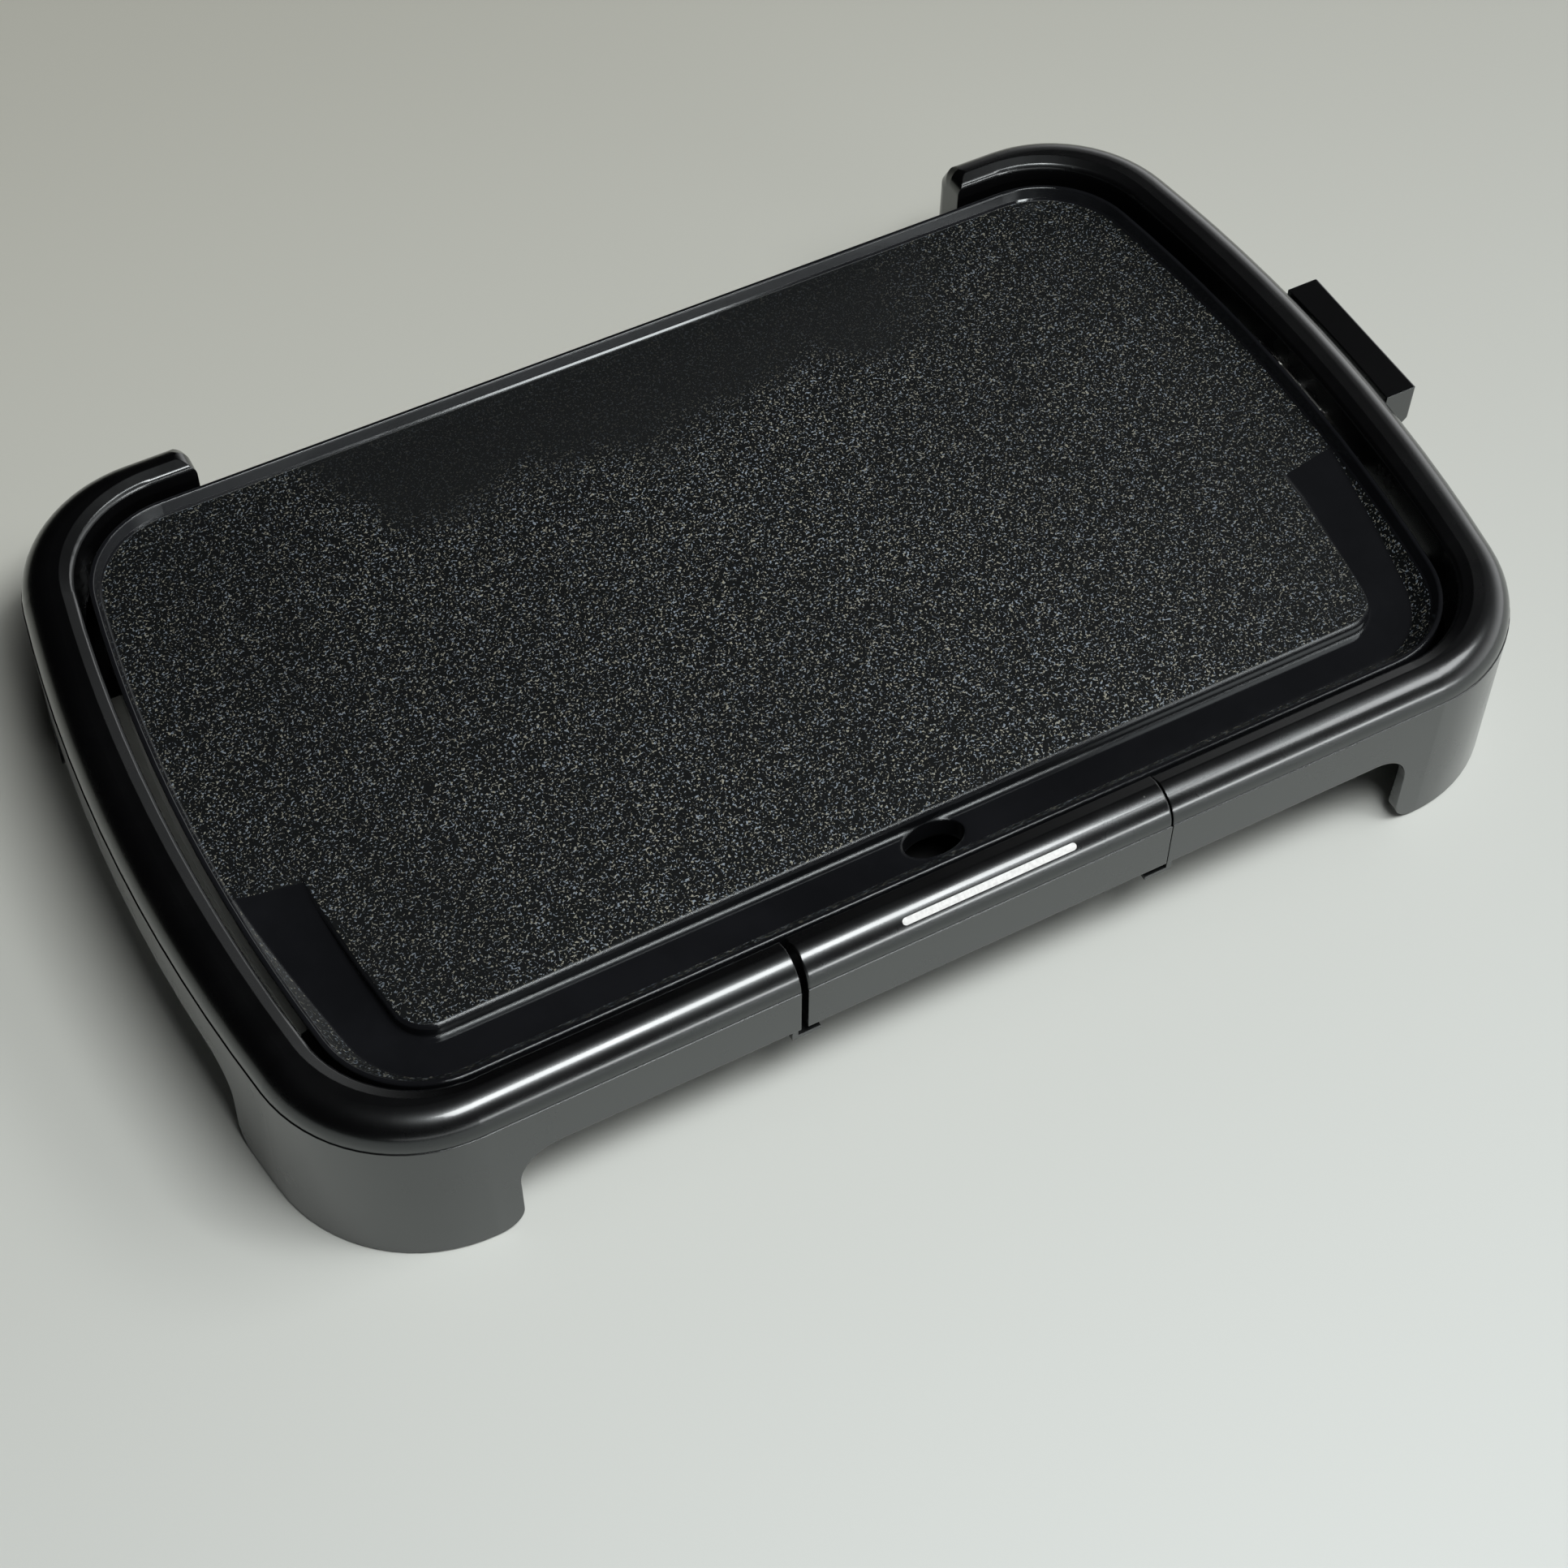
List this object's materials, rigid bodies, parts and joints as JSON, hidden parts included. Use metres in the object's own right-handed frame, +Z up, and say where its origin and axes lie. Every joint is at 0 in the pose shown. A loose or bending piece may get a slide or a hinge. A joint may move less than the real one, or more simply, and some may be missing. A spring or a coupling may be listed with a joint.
{
  "type": "electric griddle",
  "caption": "Low rectangular electric griddle with a textured non-stick plate, a grease channel draining into a slide-out tray, and an inlet for a plug-in control.",
  "frame": {"origin": "bottom centre of the whole griddle: the middle of its length and width, on the surface that it stands on", "axes": "+X to the right along the long side, towards the control inlet; -Y to the front, where the drip tray pulls out; +Z up"},
  "size_m": [0.4774, 0.296, 0.0685],
  "materials": {
    "frame_plastic": "glossy black moulded plastic",
    "shroud_plastic": "smooth black moulded plastic",
    "rail_plastic": "satin black moulded plastic",
    "pan_plastic": "satin black moulded plastic",
    "plate_coating": "cast aluminium under a wrinkled black non-stick coating",
    "element_steel": "dark oxidised steel sheath",
    "pin_steel": "plain steel",
    "guard_steel": "plated steel",
    "screw_steel": "zinc-plated steel",
    "ceramic": "unglazed off-white ceramic",
    "insulator": "dark brown phenolic",
    "foot_rubber": "soft black rubber"
  },
  "bodies": {
    "base": {"base_frame": "frame_plastic", "front_left_foot_pad": "foot_rubber", "front_right_foot_pad": "foot_rubber", "rear_left_foot_pad": "foot_rubber", "rear_right_foot_pad": "foot_rubber", "cooking_plate": "plate_coating", "heating_element": "element_steel", "front_terminal_pin": "pin_steel", "rear_terminal_pin": "pin_steel", "front_terminal_bead": "ceramic", "rear_terminal_bead": "ceramic", "probe_sleeve": "guard_steel", "terminal_guard": "guard_steel", "probe_shroud": "shroud_plastic", "left_tray_rail": "rail_plastic", "right_tray_rail": "rail_plastic", "front_left_insulating_washer": "insulator", "front_right_insulating_washer": "insulator", "rear_left_insulating_washer": "insulator", "rear_right_insulating_washer": "insulator", "plate_screws": "screw_steel", "guard_screws": "screw_steel", "rail_screws": "screw_steel", "shroud_screws": "screw_steel"},
    "tray": {"tray_front": "frame_plastic", "drip_tray": "pan_plastic", "tray_front_screws": "screw_steel"}
  },
  "joints": [
    {"name": "tray_slide", "type": "slide", "parent": "base", "child": "tray", "axis": [0, -1, 0], "range_m": [0, 0.075]}
  ]
}
